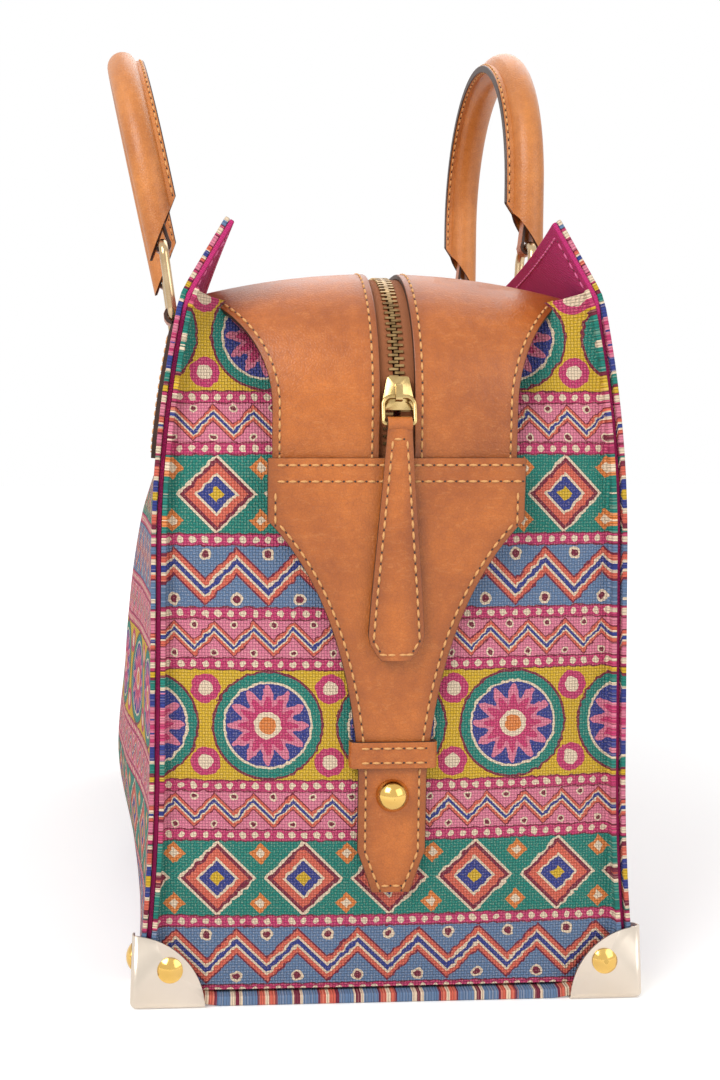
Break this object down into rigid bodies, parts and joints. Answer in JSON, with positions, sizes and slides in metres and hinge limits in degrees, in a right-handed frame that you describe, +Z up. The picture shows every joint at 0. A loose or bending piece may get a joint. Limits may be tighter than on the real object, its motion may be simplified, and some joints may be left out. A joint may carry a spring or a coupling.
{
  "type": "tote bag",
  "caption": "Structured printed-canvas tote bag with zipped leather top, leather end tabs, riveted metal corners and rolled leather handles on wire rings.",
  "frame": {"origin": "on the floor under the middle of the base", "axes": "+X along the bag's length towards the end with the zip pull, +Y from the front panel to the back panel, +Z up"},
  "size_m": [0.3976, 0.2032, 0.3889],
  "materials": {
    "printed_canvas": "woven canvas with a patchwork print",
    "lining_cloth": "plain woven cloth",
    "tan_leather": "grained tan leather with dark painted edges",
    "zip_tape": "herringbone tape",
    "zip_brass": "antique brass",
    "stud_brass": "polished brass",
    "ring_brass": "polished brass wire",
    "corner_metal": "pale gold plated sheet",
    "base_board": "plain board"
  },
  "bodies": {
    "bag": {"front_panel": "printed_canvas", "front_lining": "lining_cloth", "front_top_leather": "tan_leather", "front_zip_tape": "zip_tape", "front_zip_teeth": "zip_brass", "back_panel": "printed_canvas", "back_lining": "lining_cloth", "back_top_leather": "tan_leather", "back_zip_tape": "zip_tape", "back_zip_teeth": "zip_brass", "right_gusset": "printed_canvas", "right_end_tab": "tan_leather", "right_keeper": "tan_leather", "right_stud": "stud_brass", "left_gusset": "printed_canvas", "left_end_tab": "tan_leather", "left_keeper": "tan_leather", "left_stud": "stud_brass", "base_panel": "printed_canvas", "base_board": "base_board", "right_front_corner": "corner_metal", "right_front_chape": "tan_leather", "left_front_corner": "corner_metal", "left_front_chape": "tan_leather", "right_back_corner": "corner_metal", "right_back_chape": "tan_leather", "left_back_corner": "corner_metal", "left_back_chape": "tan_leather", "corner_rivets": "stud_brass"},
    "front_rings": {"right_front_ring": "ring_brass", "left_front_ring": "ring_brass"},
    "front_grip": {"front_handle": "tan_leather"},
    "back_rings": {"right_back_ring": "ring_brass", "left_back_ring": "ring_brass"},
    "back_grip": {"back_handle": "tan_leather"},
    "slider": {"zip_slider": "zip_brass"},
    "slider_ring": {"pull_ring": "zip_brass"},
    "slider_pull": {"zip_pull": "tan_leather"}
  },
  "joints": [
    {"name": "front_ring_swing", "type": "hinge", "parent": "bag", "child": "front_rings", "pos_m": [0, -0.07731, 0.258], "axis": [1, 0, 0], "range_deg": [-20, 140]},
    {"name": "front_handle_swing", "type": "hinge", "parent": "front_rings", "child": "front_grip", "pos_m": [0, -0.08163, 0.2887], "axis": [1, 0, 0], "range_deg": [-12, 12]},
    {"name": "back_ring_swing", "type": "hinge", "parent": "bag", "child": "back_rings", "pos_m": [0, 0.07731, 0.258], "axis": [-1, 0, 0], "range_deg": [-15, 140]},
    {"name": "back_handle_swing", "type": "hinge", "parent": "back_rings", "child": "back_grip", "pos_m": [0, 0.07894, 0.28896], "axis": [-1, 0, 0], "range_deg": [-12, 12]},
    {"name": "slider_travel", "type": "hinge", "parent": "bag", "child": "slider", "pos_m": [0.14497, 0, 0.216], "axis": [0, -1, 0], "range_deg": [0, 78], "deforming": ["front_zip_teeth", "back_zip_teeth"]},
    {"name": "pull_ring_swing", "type": "hinge", "parent": "slider", "child": "slider_ring", "pos_m": [0.19648, 0, 0.2183], "axis": [0, -1, 0], "range_deg": [0, 110]},
    {"name": "pull_swing", "type": "hinge", "parent": "slider_ring", "child": "slider_pull", "pos_m": [0.19888, 0, 0.20908], "axis": [0, -1, 0], "range_deg": [0, 50]}
  ]
}
